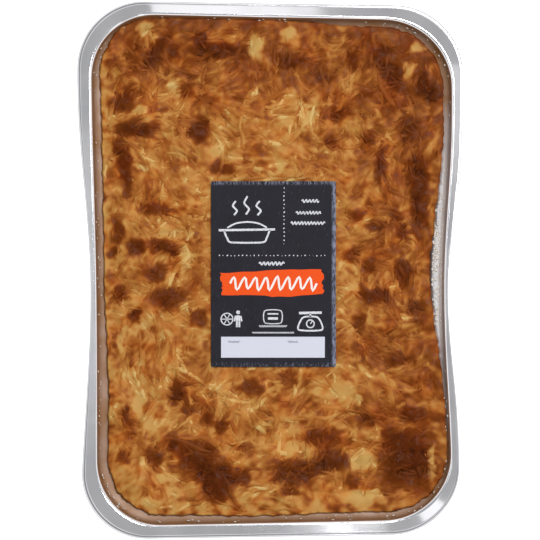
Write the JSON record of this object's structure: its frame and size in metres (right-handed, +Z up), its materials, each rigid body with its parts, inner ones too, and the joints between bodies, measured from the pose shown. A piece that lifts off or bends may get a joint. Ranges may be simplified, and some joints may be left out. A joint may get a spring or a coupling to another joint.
{
  "type": "potato gratin in a foil tray",
  "caption": "Oblong potato gratin with a browned cheese crust, baked in a smooth foil tray with a pinched rim, with a printed card label lying on it.",
  "frame": {"origin": "on the table under the middle of the tray", "axes": "+Y along the tray's long side, +X across it, +Z up"},
  "size_m": [0.19, 0.2652, 0.04],
  "materials": {
    "foil": "smooth pressed foil, satin with soft bright reflections, slightly waved",
    "crust": "baked cheese crust, golden with brown blisters and pale shreds, slightly greasy",
    "printed_card": "matt printed card, dark slate with chalk marks and an orange brush stroke"
  },
  "bodies": {
    "root": {"foil_tray": "foil", "gratin": "crust", "label": "printed_card"}
  },
  "joints": []
}
